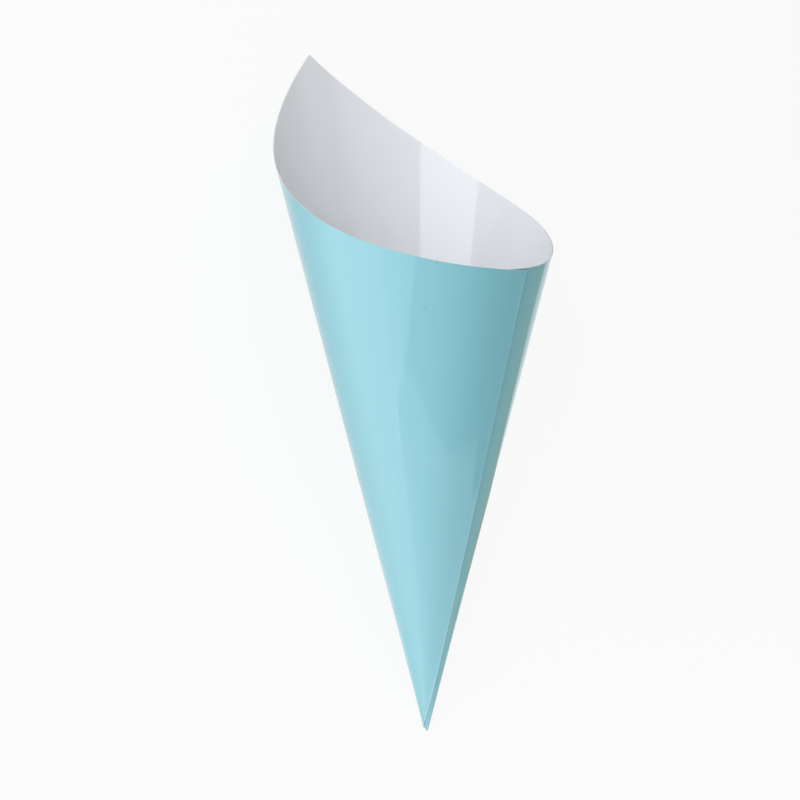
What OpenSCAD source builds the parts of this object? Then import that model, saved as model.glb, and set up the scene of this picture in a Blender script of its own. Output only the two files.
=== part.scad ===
// Snack cone: one square sheet of coated card, rolled from a corner and glued along one lap.
// It lies on its long side, as it comes to rest: tip towards +X, tall corner towards -X.

/* [Blank] */
// Side of the square card blank, measured along the seam
sheet_side = 180; // [120:1:240]
// Thickness of the card
card = 0.35; // [0.2:0.05:0.5]

/* [Roll] */
// Width of the glued lap along the seam
lap = 12; // [6:0.5:24]
// Thickness of the glue between the two layers of the lap
glue = 0.03; // [0.02:0.01:0.1]
// How far the inner layer stands above the outer one where the seam meets the rim
rim_step = 0.5; // [0:0.1:2]
// Diameter of the pinhole left open at the tip
pinhole = 0.2; // [0.1:0.05:0.4]
// Wrap angle of the strip that lies flat on the table
flat_turn = 14; // [8:1:20]

/* [Hidden] */

// Wrap angle between one fold line and the next, and the wider one in the tip
fold_step = 2.5;
tip_step = 10;
// Length of the tip along the inner edge
tip_length = sheet_side / 9;
// The corner in the tip is snipped off before it wraps this far inside itself
snip_turn = 240;

// A right-angled corner wraps once round the cone and covers the lap as well
half_angle = asin(1 / 4 - lap / (2 * PI * sheet_side));
// Every turn lies on the one below, so its cone is set back along the axis by this much
set_back = (card + glue) / sin(half_angle);
// On the flat blank, the point of the cone then wanders round an arc of this radius
wander = set_back / (2 * PI * sin(half_angle));
// The card can't close tighter than its own thickness and the pinhole
reach = (card / 2 * cos(half_angle) + pinhole / 2) / sin(half_angle);
// The inner edge is set over as far as the outer one, so the lap keeps its width to the tip
set_over = reach + wander;
// The inner edge is a little shorter, because the outer layer is set back by then
inner_side = sheet_side + wander - reach
    + (rim_step - set_back / (4 * sin(half_angle))) / cos(half_angle);

// Corners of the flat blank: the one inside the seam, the tall peak, the one outside the seam.
// The fourth corner is rolled into the tip, and the seam's outer edge runs up from zero.
inner_corner = [inner_side, -set_over];
peak_corner = [inner_side, sheet_side];
outer_corner = [0, sheet_side];

// Where the point of the cone lies on the flat blank for a fold line at this angle
function cone_point(a) = [-reach - wander * sin(a), -wander * (1 - cos(a))];

// Angle of the fold line that runs through a point of the flat blank
function aim(p, a = 45, tries = 40) =
    let (v = p - cone_point(a))
    tries == 0 ? a : aim(p, atan2(v.y, v.x), tries - 1);

// Distances from the cone's point at which a fold line enters and leaves the blank
function enters(a) = max(reach, -cone_point(a).x / cos(a));
function leaves(a) =
    let (to_peak_side = (inner_side - cone_point(a).x) / cos(a))
    a > 0 ? min(to_peak_side, (sheet_side - cone_point(a).y) / sin(a)) :
    a < 0 ? min(to_peak_side, (-set_over - cone_point(a).y) / sin(a)) : to_peak_side;

// Fold lines from one angle towards the next, evenly spread
function fan(from, to, step) =
    let (count = ceil((to - from) / (step * sin(half_angle))))
    [for (i = [0 : count - 1]) from + (to - from) * i / count];

// The cone lies on the fold line of its peak, and its weight presses the strip around that line flat
peak_fold = aim(peak_corner);
flat_fold = flat_turn / 2 * sin(half_angle);
folds = concat(
    fan(-snip_turn * sin(half_angle), aim([tip_length, -set_over]), tip_step),
    fan(aim([tip_length, -set_over]), aim(inner_corner), fold_step),
    fan(aim(inner_corner), peak_fold - flat_fold, fold_step),
    [peak_fold - flat_fold, peak_fold],
    fan(peak_fold + flat_fold, aim(outer_corner), fold_step),
    [aim(outer_corner)]
);
last = len(folds) - 1;

// How far in the flat strip is pressed, as a share of the cone's radius
rest_turn = peak_fold / sin(half_angle);
function pressed(turn) =
    let (off = abs(turn - rest_turn))
    off < flat_turn / 2 ? cos(flat_turn / 2) / cos(off) : 1;

// A place on the rolled card, this far along a fold line and this far out from mid-thickness
function rolled(a, along, out) =
    let (turn = a / sin(half_angle))
    let (radius = (along * sin(half_angle) + out * cos(half_angle)) * pressed(turn))
    let (height = along * cos(half_angle) - out * sin(half_angle))
    [radius * cos(turn), radius * sin(turn), height - set_back * turn / 360];

// The same place once the flat strip is down on the table
lie_angle = atan(tan(half_angle) * cos(flat_turn / 2));
function laid(p) =
    let (side = p.y * cos(rest_turn) - p.x * sin(rest_turn))
    let (out = p.x * cos(rest_turn) + p.y * sin(rest_turn))
    [
        -out * sin(lie_angle) - p.z * cos(lie_angle),
        -side,
        p.z * sin(lie_angle) - out * cos(lie_angle)
    ];

// Points of one face: far ends of all fold lines, then near ends.
// The last fold line is no longer than the outer corner, so it has only a far end.
function far(i) = i;
function near(i) = i == last ? last : last + 1 + i;
function face_points(out) = concat(
    [for (i = [0 : last]) rolled(folds[i], leaves(folds[i]), out)],
    [for (i = [0 : last - 1]) rolled(folds[i], enters(folds[i]), out)]
);
outline = concat([for (i = [0 : last]) far(i)], [for (i = [last - 1 : -1 : 0]) near(i)]);

// The strip of card between two fold lines, on the outer face and on the inner one
function strip(i) = concat(
    [[near(i), far(i), far(i + 1)]],
    i == last - 1 ? [] : [[near(i), far(i + 1), near(i + 1)]]
);
function turned_over(triangle) = [for (k = [2, 1, 0]) triangle[k] + len(outline)];

// The cut edge between two neighbouring points of the outline
function cut_edge(from, to) = [
    [from, from + len(outline), to + len(outline)],
    [from, to + len(outline), to]
];

module paper_cone() {
    points = [
        for (out = [card / 2, -card / 2])
            for (p = face_points(out))
                laid(p)
    ];
    strips = [for (i = [0 : last - 1]) each strip(i)];
    edges = [
        for (k = [0 : len(outline) - 1])
            each cut_edge(outline[k], outline[(k + 1) % len(outline)])
    ];
    // The origin is on the floor, under the middle of the cone's box
    low = [for (k = [0 : 2]) min([for (p = points) p[k]])];
    high = [for (k = [0 : 2]) max([for (p = points) p[k]])];
    base = [(low.x + high.x) / 2, (low.y + high.y) / 2, low.z];
    color("#8ecfdc")
        polyhedron(
            points = [for (p = points) p - base],
            faces = concat(strips, [for (t = strips) turned_over(t)], edges)
        );
}

paper_cone();
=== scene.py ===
from math import acos, asin, atan, atan2, ceil, cos, pi, radians, sin, tan

import bpy
from mathutils import Matrix, Vector


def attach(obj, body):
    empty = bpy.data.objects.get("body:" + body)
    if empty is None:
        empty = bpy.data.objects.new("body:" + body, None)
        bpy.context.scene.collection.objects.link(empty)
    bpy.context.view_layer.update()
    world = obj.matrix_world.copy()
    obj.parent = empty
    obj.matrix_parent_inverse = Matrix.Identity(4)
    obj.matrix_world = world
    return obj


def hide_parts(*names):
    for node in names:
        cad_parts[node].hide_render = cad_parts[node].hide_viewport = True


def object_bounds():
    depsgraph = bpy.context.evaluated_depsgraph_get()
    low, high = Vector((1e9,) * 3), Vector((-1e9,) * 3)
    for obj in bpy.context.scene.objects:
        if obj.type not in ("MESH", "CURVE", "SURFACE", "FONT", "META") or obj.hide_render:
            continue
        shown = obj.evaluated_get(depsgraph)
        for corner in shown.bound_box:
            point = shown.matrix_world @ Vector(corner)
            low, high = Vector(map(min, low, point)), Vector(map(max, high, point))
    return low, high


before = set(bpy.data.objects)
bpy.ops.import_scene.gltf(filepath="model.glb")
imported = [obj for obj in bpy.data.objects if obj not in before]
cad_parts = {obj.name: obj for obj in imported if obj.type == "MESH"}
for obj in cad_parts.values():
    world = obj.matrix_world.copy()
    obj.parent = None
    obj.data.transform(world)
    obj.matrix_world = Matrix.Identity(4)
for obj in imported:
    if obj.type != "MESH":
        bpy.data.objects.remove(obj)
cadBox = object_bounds()
print("frame loaded:", ", ".join(sorted(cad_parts)))

# Snack cone: a square card blank rolled from one corner, in metres and radians
coneCard = {
    "sheetSide": 0.180,  # along the seam
    "card": 0.00035,  # thickness
    "lap": 0.012,  # glued lap, at the rim
    "glue": 0.00003,
    "rimStep": 0.0005,  # inner layer above the outer one where the seam meets the rim
    "pinhole": 0.0002,
    "flatTurn": radians(14),  # strip that lies flat on the table
    "snipTurn": radians(150),  # the corner rolled up inside the tip ends here
    "tipTurn": radians(-25),  # the tip is longest here, like a quill
    "tipSlant": 0.0014,  # and shorter by this for each radian round from there
    "tipSlantMost": 0.0022,
    "straightEdge": 0.0025,  # card beside the seam's free edge springs straight
    "straightShare": 0.35,  # over no more than this share of the radius
    "edgeLift": 0.0005,  # the outer layer's edge stands this far off the inner one
    "liftWidth": 0.009,
    "liftShare": 0.4,  # also a share of the radius
    # The cut rim isn't quite straight: the middle, depth and half width of each dip along a side
    "rimDips": {
        "peakSide": ((0.028, 0.0015, 0.044), (0.120, -0.0005, 0.038), (0.200, 0.0026, 0.052)),
        "frontSide": ((-0.012, 0.0013, 0.032), (0.045, -0.00035, 0.040)),
    },
    "foldStep": radians(1.5),  # wrap angle between two fold lines of the mesh
    "seamStep": radians(0.5),  # finer beside the seam
    "tipStep": radians(6),  # coarser inside the tip
    "seamZone": radians(28),  # wrap angle on each side of the seam with the finer step
    "rows": 48,  # mesh rows along a fold line
    "foldTries": 40,  # rounds in which a fold line settles on its point
    "edgeTries": 20,  # and the seam's edge on its fold line
    "mergeWithin": 1e-7,
    "smoothBelow": radians(40),  # sharper edges stay crisp
}

side = coneCard["sheetSide"]
halfAngle = asin(1 / 4 - coneCard["lap"] / (2 * pi * side))
slope = sin(halfAngle)  # flat angle for each unit of wrap angle
setBack = (coneCard["card"] + coneCard["glue"]) / slope  # each turn lies on the one below
wander = setBack / (2 * pi * slope)  # so the cone's point wanders on the flat blank
reach = (coneCard["card"] / 2 * cos(halfAngle) + coneCard["pinhole"] / 2) / slope
setOver = reach + wander
innerSide = side + wander - reach + (coneCard["rimStep"] - setBack / (4 * slope)) / cos(halfAngle)
lieAngle = atan(tan(halfAngle) * cos(coneCard["flatTurn"] / 2))


def conePoint(fold):
    return (-reach - wander * sin(fold), -wander * (1 - cos(fold)))


def foldThrough(x, y):  # the fold line through a point of the flat blank
    fold = pi / 4
    for _ in range(coneCard["foldTries"]):
        px, py = conePoint(fold)
        fold = atan2(y - py, x - px)
    return fold


def entersBlank(fold):
    aside = abs(fold / slope - coneCard["tipTurn"])
    slantedTip = reach + min(coneCard["tipSlantMost"], coneCard["tipSlant"] * aside)
    return max(slantedTip, -conePoint(fold)[0] / cos(fold))


def dip(rimSide, place):
    return sum(
        depth * (1 + cos(pi * min(1, abs(place - middle) / halfWidth))) / 2
        for middle, depth, halfWidth in coneCard["rimDips"][rimSide]
    )


def leavesBlank(fold):
    px, py = conePoint(fold)
    y = py + (innerSide - px) * tan(fold)
    toPeakSide = (innerSide - dip("peakSide", y) - px) / cos(fold)
    if fold > 0:
        x = px + (side - py) / tan(fold)
        return min(toPeakSide, (side - dip("frontSide", x) - py) / sin(fold))
    if fold < 0:
        return min(toPeakSide, (-setOver - py) / sin(fold))
    return toPeakSide


innerFold = foldThrough(innerSide - dip("peakSide", -setOver), -setOver)
peakFold = foldThrough(innerSide - dip("peakSide", side), side)
outerFold = foldThrough(0, side - dip("frontSide", 0))
restTurn = foldThrough(innerSide, side) / slope


def spread(start, end, step):  # fold lines from start up to, not including, end
    count = ceil((end - start) / (step * slope))
    return [start + (end - start) * i / count for i in range(count)]


def foldLines():
    zone = coneCard["seamZone"] * slope
    wide, fine, tip = (coneCard[step] for step in ("foldStep", "seamStep", "tipStep"))
    return (
        spread(-coneCard["snipTurn"] * slope, innerFold - zone, tip)
        + spread(innerFold - zone, innerFold, fine)
        + spread(innerFold, innerFold + zone, fine)
        + spread(innerFold + zone, peakFold, wide)
        + spread(peakFold, outerFold - zone, wide)
        + spread(outerFold - zone, outerFold, fine)
        + [outerFold]
    )


def pressed(turn):  # the strip on the table is pressed in, and eases back to round
    depth = 1 - cos(coneCard["flatTurn"] / 2)
    width = pi * sin(coneCard["flatTurn"] / 4)
    off = abs(turn - restTurn)
    return 1 - depth * (1 + cos(pi * off / width)) / 2 if off < width else 1


def seamRidge(fold, along):  # both layers run straight beside the seam's edge, a hair proud
    radius = along * slope
    width = min(coneCard["straightEdge"], coneCard["straightShare"] * radius)
    edgeFold = pi / 2
    for _ in range(coneCard["edgeTries"]):
        edgeFold = acos(min(1, (reach + wander * sin(edgeFold)) / along))
    off = along * min(abs(fold - edgeFold), abs(fold + 2 * pi * slope - edgeFold))
    return max(0, width - off) ** 2 / (2 * radius)


def edgeLift(fold, along):  # the outer layer's free edge stands off the inner layer
    fromEdge = conePoint(fold)[0] + along * cos(fold)
    width = min(coneCard["liftWidth"], coneCard["liftShare"] * along * slope)
    lift = coneCard["edgeLift"] * width / coneCard["liftWidth"]
    return lift * max(0, 1 - fromEdge / width) ** 2 if fold > peakFold else 0


def rolledPlace(fold, along):  # mid-thickness of the rolled card, laid on the table
    turn = fold / slope
    radius = along * slope * pressed(turn) + seamRidge(fold, along) + edgeLift(fold, along)
    height = along * cos(halfAngle) - setBack * turn / (2 * pi)
    across = radius * sin(turn - restTurn)
    out = radius * cos(turn - restTurn)
    return Vector((
        -out * sin(lieAngle) - height * cos(lieAngle),
        -across,
        height * sin(lieAngle) - out * cos(lieAngle),
    ))


def rollCone():
    folds = foldLines()
    rows = coneCard["rows"]
    bpy.ops.object.select_all(action="DESELECT")
    bpy.ops.mesh.primitive_grid_add(x_subdivisions=len(folds) - 1, y_subdivisions=rows, size=1)
    cone = bpy.context.object
    cone.name = cone.data.name = "paperCone"

    # Each column of the grid is a fold line, from the near edge of the blank to the far one
    flat = {}
    for v in cone.data.vertices:
        fold = folds[round((v.co.x + 0.5) * (len(folds) - 1))]
        near, far = entersBlank(fold), leavesBlank(fold)
        along = near + (far - near) * round((v.co.y + 0.5) * rows) / rows
        px, py = conePoint(fold)
        flat[v.index] = (px + along * cos(fold), py + along * sin(fold))
        v.co = rolledPlace(fold, along)
    sheetMap = cone.data.uv_layers[0]
    sheetMap.name = "flatSheet"
    for loop in cone.data.loops:
        x, y = flat[loop.vertex_index]
        sheetMap.data[loop.index].uv = (x / side, y / side)

    # The last fold line is only the outer corner, so its points close up
    bpy.ops.object.mode_set(mode="EDIT")
    bpy.ops.mesh.select_all(action="SELECT")
    bpy.ops.mesh.remove_doubles(threshold=coneCard["mergeWithin"])
    bpy.ops.mesh.normals_make_consistent(inside=False)
    bpy.ops.object.mode_set(mode="OBJECT")
    return cone


def faceOutwards(cone):  # the aqua side faces away from the cone's axis
    axisPoint = sum((v.co for v in cone.data.vertices), Vector()) / len(cone.data.vertices)
    outward = sum(p.normal.dot(p.center - axisPoint) * p.area for p in cone.data.polygons)
    if outward < 0:
        bpy.ops.object.mode_set(mode="EDIT")
        bpy.ops.mesh.select_all(action="SELECT")
        bpy.ops.mesh.flip_normals()
        bpy.ops.object.mode_set(mode="OBJECT")


def thickenCard(cone):
    bpy.ops.object.modifier_add(type="SOLIDIFY")
    card = cone.modifiers[-1]
    card.thickness = coneCard["card"]
    card.offset = 0
    card.use_even_offset = True
    card.material_offset = 1  # white inside
    card.material_offset_rim = 2  # bare cut edge
    bpy.ops.object.modifier_apply(modifier=card.name)
    bpy.ops.object.shade_smooth_by_angle(angle=coneCard["smoothBelow"])


def setDown(cone):  # on the floor, with its tip at the same end of the part's box
    low = [min(v.co[k] for v in cone.data.vertices) for k in range(3)]
    high = [max(v.co[k] for v in cone.data.vertices) for k in range(3)]
    move = (cadBox[1].x - high[0], -(low[1] + high[1]) / 2, -low[2])
    bpy.ops.object.mode_set(mode="EDIT")
    bpy.ops.mesh.select_all(action="SELECT")
    bpy.ops.transform.translate(value=move)
    bpy.ops.object.mode_set(mode="OBJECT")


def addNode(tree, kind, **values):
    made = tree.nodes.new(kind)
    for name, value in values.items():
        if name in made.inputs:
            made.inputs[name].default_value = value
        else:
            setattr(made, name, value)
    return made


def plug(tree, value, socket):  # a link from another node, or a value set on the socket
    if isinstance(value, bpy.types.NodeSocket):
        tree.links.new(value, socket)
    else:
        socket.default_value = value


# Sockets of a Mix node: what goes in first and second, and the result
mixSockets = {"FLOAT": (2, 3, 0), "RGBA": (6, 7, 2)}


def mixed(tree, kind, share, first, second):
    mix = addNode(tree, "ShaderNodeMix", data_type=kind)
    firstIn, secondIn, result = mixSockets[kind]
    plug(tree, share, mix.inputs["Factor"])
    plug(tree, first, mix.inputs[firstIn])
    plug(tree, second, mix.inputs[secondIn])
    return mix.outputs[result]


def softStep(tree, value, start, end, first, last):  # from first to last, between start and end
    step = addNode(tree, "ShaderNodeMapRange", interpolation_type="SMOOTHSTEP")
    plug(tree, value, step.inputs["Value"])
    plug(tree, start, step.inputs["From Min"])
    plug(tree, end, step.inputs["From Max"])
    plug(tree, first, step.inputs["To Min"])
    plug(tree, last, step.inputs["To Max"])
    return step.outputs["Result"]


def noise(tree, place, scale, detail):
    cloud = addNode(tree, "ShaderNodeTexNoise", Scale=scale, Detail=detail)
    tree.links.new(place, cloud.inputs["Vector"])
    return cloud.outputs["Fac"]


def bumped(tree, height, strength, depth):
    bump = addNode(tree, "ShaderNodeBump", Strength=strength, Distance=depth)
    tree.links.new(height, bump.inputs["Height"])
    return bump.outputs["Normal"]


def newMaterial(name):
    material = bpy.data.materials.new(name)
    material.use_nodes = True
    tree = material.node_tree
    return material, tree, tree.nodes["Principled BSDF"]


varnish = {
    "haze": (30.0, 3.0),  # scale and detail
    "roughness": (0.06, 0.1),  # from and to
    "ripple": (110.0, 2.0),  # scale and detail
    "rippleBump": (0.6, 0.000004),  # strength and depth
}


def glossCard(tree, card, sheet):  # varnish over board: slight ripple, uneven gloss
    least, most = varnish["roughness"]
    rough = addNode(tree, "ShaderNodeMapRange")
    rough.inputs["To Min"].default_value = least
    rough.inputs["To Max"].default_value = most
    ripple = noise(tree, sheet, *varnish["ripple"])
    tree.links.new(noise(tree, sheet, *varnish["haze"]), rough.inputs["Value"])
    tree.links.new(rough.outputs["Result"], card.inputs["Roughness"])
    tree.links.new(bumped(tree, ripple, *varnish["rippleBump"]), card.inputs["Normal"])


aquaCoat = {
    "ink": (0.229, 0.543, 0.625, 1),
    "inkThin": (0.243, 0.559, 0.641, 1),  # where the ink lies a little thinner
    "drift": (7.0, 3.0),  # scale and detail
    "mottle": (420.0, 2.0),
    "mottleShare": 0.4,
    "edgePale": (0.70, 0.80, 0.82, 1),  # ink turns pale along the seam's cut edge
    "edgePaleWidth": (0.0002, 0.0005),  # full as far as here, and gone from there on
    "edgePaleDepth": 0.2,
    "seamShadow": (0.10, 0.27, 0.31, 1),  # painted shadow: darkens the inner layer along the seam, beside the outer layer's raised edge
    "seamShadowWidth": (0.0012, 0.0022),
    "seamShadowDepth": 0.2,
    "speck": (0.10, 0.30, 0.35, 1),
    "specks": ((0.0343, 0.1636, 0.0014, 0.2), (0.0340, 0.1795, 0.0009, 0.4)),  # place, width, depth
    "speckEdge": (0.2, 0.6),  # shares of the width between which a speck fades
}


def paintOutside():
    material, tree, card = newMaterial("aquaGlossCoat")
    sheet = addNode(tree, "ShaderNodeUVMap", uv_map="flatSheet").outputs["UV"]

    # Ink density drifts over the sheet, with a fine mottle
    drift = noise(tree, sheet, *aquaCoat["drift"])
    mottle = noise(tree, sheet, *aquaCoat["mottle"])
    density = mixed(tree, "FLOAT", aquaCoat["mottleShare"], drift, mottle)
    painted = mixed(tree, "RGBA", density, aquaCoat["ink"], aquaCoat["inkThin"])

    # The seam's edge is where the sheet begins across
    across = addNode(tree, "ShaderNodeSeparateXYZ")
    tree.links.new(sheet, across.inputs["Vector"])
    full, gone = (width / side for width in aquaCoat["edgePaleWidth"])
    paleEdge = softStep(tree, across.outputs["X"], full, gone, aquaCoat["edgePaleDepth"], 0)
    painted = mixed(tree, "RGBA", paleEdge, painted, aquaCoat["edgePale"])

    # Painted shadow of the outer layer's edge, darkening the inner layer along the seam. On the
    # inner layer the seam runs at this slant from the corner in the tip
    slant = pi / 2 - 2 * pi * slope
    beyond = addNode(tree, "ShaderNodeVectorMath", operation="DOT_PRODUCT")
    beyond.inputs[1].default_value = (-sin(slant), cos(slant), 0)
    tree.links.new(sheet, beyond.inputs[0])
    full, gone = ((width - setOver * cos(slant)) / side for width in aquaCoat["seamShadowWidth"])
    paintedShadow = softStep(tree, beyond.outputs["Value"], full, gone, aquaCoat["seamShadowDepth"], 0)
    painted = mixed(tree, "RGBA", paintedShadow, painted, aquaCoat["seamShadow"])

    # Two small marks, each a soft dot at its place on the sheet
    for x, y, width, depth in aquaCoat["specks"]:
        off = addNode(tree, "ShaderNodeVectorMath", operation="DISTANCE")
        off.inputs[1].default_value = (x / side, y / side, 0)
        tree.links.new(sheet, off.inputs[0])
        full, gone = (share * width / side for share in aquaCoat["speckEdge"])
        dot = softStep(tree, off.outputs["Value"], full, gone, depth, 0)
        painted = mixed(tree, "RGBA", dot, painted, aquaCoat["speck"])
    tree.links.new(painted, card.inputs["Base Color"])
    glossCard(tree, card, sheet)
    return material


whiteCoat = {
    "board": (0.835, 0.863, 0.910, 1),
    "boardWarm": (0.850, 0.873, 0.906, 1),
    "drift": (9.0, 4.0),  # scale and detail
}


def paintInside():
    material, tree, card = newMaterial("whiteGlossCoat")
    sheet = addNode(tree, "ShaderNodeUVMap", uv_map="flatSheet").outputs["UV"]
    drift = noise(tree, sheet, *whiteCoat["drift"])
    board = mixed(tree, "RGBA", drift, whiteCoat["board"], whiteCoat["boardWarm"])
    tree.links.new(board, card.inputs["Base Color"])
    glossCard(tree, card, sheet)
    return material


cutEdge = {
    "fibre": (0.66, 0.68, 0.685, 1),
    "fibreDark": (0.56, 0.58, 0.585, 1),
    "fibres": (9000.0, 3.0),  # scale and detail
    "fuzz": (0.5, 0.00003),  # strength and depth
    "roughness": 0.85,
}


def paintCutEdge():
    material, tree, card = newMaterial("bareCutEdge")
    place = addNode(tree, "ShaderNodeTexCoord").outputs["Object"]
    fibres = noise(tree, place, *cutEdge["fibres"])
    pulp = mixed(tree, "RGBA", fibres, cutEdge["fibre"], cutEdge["fibreDark"])
    card.inputs["Roughness"].default_value = cutEdge["roughness"]
    tree.links.new(pulp, card.inputs["Base Color"])
    tree.links.new(bumped(tree, fibres, *cutEdge["fuzz"]), card.inputs["Normal"])
    return material


cone = rollCone()
faceOutwards(cone)
for material in (paintOutside(), paintInside(), paintCutEdge()):
    cone.data.materials.append(material)
thickenCard(cone)
setDown(cone)
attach(cone, "root")
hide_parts("paper_cone")
print("cone rolled:", len(cone.data.polygons), "faces")

# The camera looks down on the lying cone, turned so that the tip is at the foot of the picture
photoCamera = {
    "place": (0.0031, -0.36746, 0.42483),
    "aim": (0.00491, -0.0196, 0.03832),
    "up": (-0.98619, 0.12535, 0.10822),
    "lens": 68.8,  # millimetres, on a sensor this wide
    "sensor": 36,
    "clipStart": 0.01,
}


def facing(place, aim, up):  # local -Z towards aim, local Y as near to up as it can be
    back = (Vector(place) - Vector(aim)).normalized()
    right = Vector(up).cross(back).normalized()
    turned = Matrix((right, back.cross(right), back)).transposed().to_4x4()
    return Matrix.Translation(place) @ turned


cameraData = bpy.data.cameras.new("photoCamera")
cameraData.lens = photoCamera["lens"]
cameraData.sensor_width = photoCamera["sensor"]
cameraData.clip_start = photoCamera["clipStart"]
camera = bpy.data.objects.new("photoCamera", cameraData)
camera.matrix_world = facing(photoCamera["place"], photoCamera["aim"], photoCamera["up"])
bpy.context.collection.objects.link(camera)
bpy.context.scene.camera = camera
print("camera set")

# Soft panels round the table, each with what it lights: matt card, its gloss, or both
studio = {
    "panels": {
        "sidePanel": {
            "place": (0.185, -0.6, 0.44), "aim": (0.185, 0, 0.44), "up": (0, 0, 1),
            "size": (0.57, 0.88), "shape": "RECTANGLE", "glow": 1.12, "lights": ("matt",),
        },
        "slantPanel": {
            "place": (-0.35, -0.6, 0.485), "aim": (-0.35, 0, 0.485), "up": (0, 0, 1),
            "size": (0.5, 0.81), "shape": "RECTANGLE", "glow": 2.45, "lights": ("matt", "gloss"),
        },
        "mouthPanel": {
            "place": (-0.7, 0.1, 0.3), "aim": (0, 0, 0.05), "up": (0, 0, 1),
            "size": (0.6, 0.5), "shape": "RECTANGLE", "glow": 1.1, "lights": ("matt", "gloss"),
        },
        "endPanel": {
            "place": (0.30, 0.15, 0), "aim": (0, 0.15, 0), "up": (0, 0, 1),
            "size": (1.2, 0.55), "shape": "ELLIPSE", "glow": 0.68, "lights": ("matt", "gloss"),
        },
        "farPanel": {
            "place": (-0.15, 0.30, 0.0002), "aim": (-0.15, 0.30, 1), "up": (0, 1, 0),
            "size": (0.40, 0.50), "shape": "RECTANGLE", "glow": 0.12, "lights": ("gloss",),
        },
    },
    "sky": (0.36, 0.36, 0.355, 1),  # even light from all round, a little warm
    "plainWhite": (1, 1, 1, 1),  # the sky as the camera and the gloss see it
    "floorSize": 6,
    "floorColor": (0.92, 0.92, 0.92, 1),
    "floorGlow": 0.88,  # share of the floor that the camera sees as plain white
}


def lightPanel(name, panel):
    lamp = bpy.data.lights.new(name, "AREA")
    lamp.shape = panel["shape"]
    lamp.size, lamp.size_y = panel["size"]
    lamp.energy = panel["glow"] * pi * lamp.size * lamp.size_y
    thing = bpy.data.objects.new(name, lamp)
    thing.matrix_world = facing(panel["place"], panel["aim"], panel["up"])
    thing.visible_camera = False
    thing.visible_diffuse = "matt" in panel["lights"]
    thing.visible_glossy = "gloss" in panel["lights"]
    bpy.context.collection.objects.link(thing)


def seenDirectly(tree):  # 1 for camera, mirror and glass rays
    path = addNode(tree, "ShaderNodeLightPath")
    mirror = addNode(tree, "ShaderNodeMath", operation="MAXIMUM")
    glass = addNode(tree, "ShaderNodeMath", operation="MAXIMUM")
    tree.links.new(path.outputs["Is Camera Ray"], mirror.inputs[0])
    tree.links.new(path.outputs["Is Glossy Ray"], mirror.inputs[1])
    tree.links.new(mirror.outputs["Value"], glass.inputs[0])
    tree.links.new(path.outputs["Is Transmission Ray"], glass.inputs[1])
    return glass.outputs["Value"]


def lightSky():
    world = bpy.data.worlds.new("studio")
    bpy.context.scene.world = world
    world.use_nodes = True
    tree = world.node_tree
    sky = mixed(tree, "RGBA", seenDirectly(tree), studio["sky"], studio["plainWhite"])
    tree.links.new(sky, tree.nodes["Background"].inputs["Color"])


def bareMaterial(name):
    material = bpy.data.materials.new(name)
    material.use_nodes = True
    material.node_tree.nodes.clear()
    return material, material.node_tree


def layFloor():
    bpy.ops.object.select_all(action="DESELECT")
    bpy.ops.mesh.primitive_plane_add(size=studio["floorSize"])
    floor = bpy.context.object
    floor.name = "floor"
    material, tree = bareMaterial("paleFloor")
    link = tree.links.new
    matt = addNode(tree, "ShaderNodeBsdfDiffuse", Color=studio["floorColor"])
    white = addNode(tree, "ShaderNodeEmission")
    share = addNode(tree, "ShaderNodeMath", operation="MULTIPLY")
    share.inputs[1].default_value = studio["floorGlow"]
    both = addNode(tree, "ShaderNodeMixShader")
    out = addNode(tree, "ShaderNodeOutputMaterial")
    link(seenDirectly(tree), share.inputs[0])
    link(share.outputs["Value"], both.inputs[0])
    link(matt.outputs["BSDF"], both.inputs[1])
    link(white.outputs["Emission"], both.inputs[2])
    link(both.outputs["Shader"], out.inputs["Surface"])
    floor.data.materials.append(material)


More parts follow.
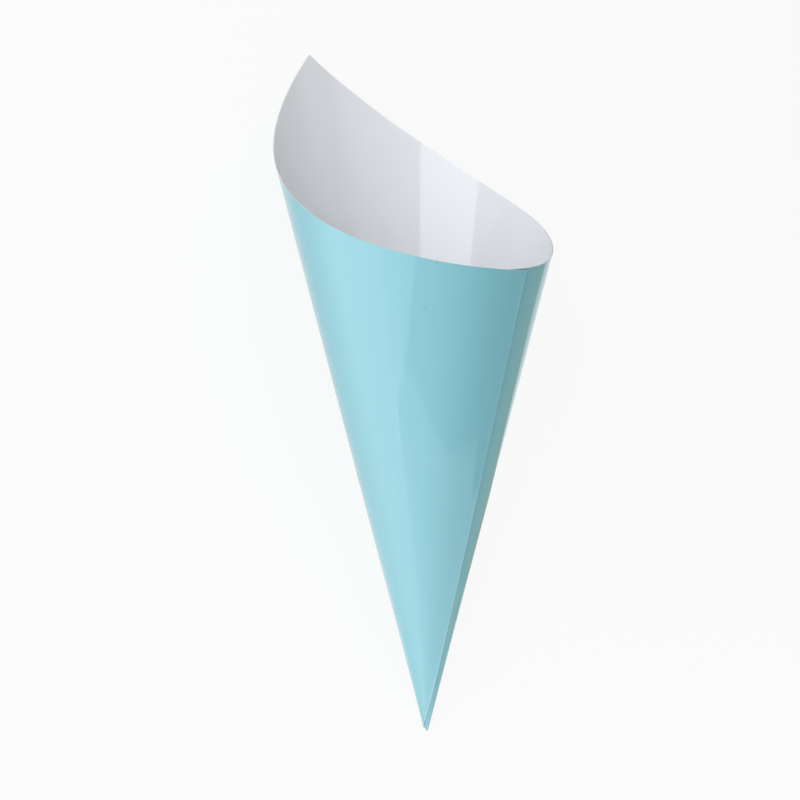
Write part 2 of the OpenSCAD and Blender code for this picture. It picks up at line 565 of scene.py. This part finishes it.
# Leaves that only the gloss sees. A leaf goes from its first tone to its second along its fades,
# and is all second tone without any. A clear one adds its light to what stands behind it.
glossLeaves = {
    "endLeaf": {  # beyond the tip, darker towards the far side
        "middle": (0.33, -0.045, 0.25), "turned": (pi / 2, 0, pi / 2), "size": (0.75, 0.5),
        "fades": {"X": (0.15, 0.83)}, "tones": ((1, 1, 1), (0.1, 0.1, 0.09)), "clear": False,
    },
    "endShine": {  # low and bright beyond the tip
        "middle": (0.325, -0.045, 0.11), "turned": (pi / 2, radians(-19), pi / 2),
        "size": (0.75, 0.24), "fades": {"X": (0.96, 0.63), "Y": (0.92, 0.25)},
        "tones": ((0, 0, 0), (1.2, 1.2, 1.2)), "clear": True,
    },
    "sideShine": {  # the side panel, a little brighter near the table
        "middle": (0.28, -0.6, 0.44), "turned": (pi / 2, 0, 0), "size": (0.76, 0.88),
        "fades": {"Y": (0, 0.4)}, "tones": ((1.5, 1.5, 1.5), (1.12, 1.12, 1.12)), "clear": True,
    },
    "sideLeaf": {  # ends the side panel at a slant
        "middle": (0.825, -0.59, 0.36), "turned": (pi / 2, radians(15), 0), "size": (0.6, 1.2),
        "fades": {}, "tones": ((1, 1, 1), (1, 1, 1)), "clear": False,
    },
    "nearLeaf": {  # hides the end panel from the shaded side
        "middle": (0.295, 0.46, 0.15), "turned": (pi / 2, 0, pi / 2), "size": (0.56, 0.3),
        "fades": {"Y": (0.2, 0.8)}, "tones": ((0.75, 0.75, 0.55), (0.12, 0.12, 0.07)),
        "clear": False,
    },
    "farLeaf": {  # gives the shaded side its depth
        "middle": (0.105, 0.33, 0.25), "turned": (pi / 2, 0, 0), "size": (0.45, 0.5),
        "fades": {"Y": (0.06, 0.54)}, "tones": ((0.46, 0.46, 0.28), (0.12, 0.12, 0.07)),
        "clear": False,
    },
    "tableLeaf": {  # and so does the table below it
        "middle": (0.19, 0.19, 0.0004), "turned": (0, 0, 0), "size": (0.28, 0.28),
        "fades": {}, "tones": ((0.46, 0.46, 0.28), (0.46, 0.46, 0.28)), "clear": False,
    },
    "tableShine": {  # the table in front shines back, more so away from the cone
        "middle": (0.232, -0.287, 0.0002), "turned": (0, 0, radians(21)), "size": (0.50, 0.66),
        "fades": {"Y": (1, 0.912)}, "tones": ((0, 0, 0), (2, 2, 2)), "clear": True,
    },
}


def standLeaf(name, leaf):
    bpy.ops.object.select_all(action="DESELECT")
    bpy.ops.mesh.primitive_plane_add(size=1, location=leaf["middle"], rotation=leaf["turned"])
    screen = bpy.context.object
    screen.name = name
    screen.scale = (*leaf["size"], 1)
    bpy.ops.object.transform_apply(location=True, rotation=True, scale=True)
    screen.visible_camera = screen.visible_diffuse = False
    screen.visible_shadow = screen.visible_transmission = False

    material, tree = bareMaterial(name)
    link = tree.links.new
    place = addNode(tree, "ShaderNodeTexCoord")
    along = addNode(tree, "ShaderNodeSeparateXYZ")
    link(place.outputs["UV"], along.inputs["Vector"])
    share = 1
    for axis, (start, full) in leaf["fades"].items():
        share = softStep(tree, along.outputs[axis], start, full, 0, share)
    first, second = [(*tone, 1) for tone in leaf["tones"]]
    glow = addNode(tree, "ShaderNodeEmission")
    link(mixed(tree, "RGBA", share, first, second), glow.inputs["Color"])
    surface = glow.outputs["Emission"]
    if leaf["clear"]:
        both = addNode(tree, "ShaderNodeAddShader")
        link(surface, both.inputs[0])
        link(addNode(tree, "ShaderNodeBsdfTransparent").outputs["BSDF"], both.inputs[1])
        surface = both.outputs["Shader"]
    link(surface, addNode(tree, "ShaderNodeOutputMaterial").inputs["Surface"])
    screen.data.materials.append(material)


for name, panel in studio["panels"].items():
    lightPanel(name, panel)
lightSky()
layFloor()
for name, leaf in glossLeaves.items():
    standLeaf(name, leaf)
bpy.context.scene.view_settings.view_transform = "Standard"
print("studio lit")
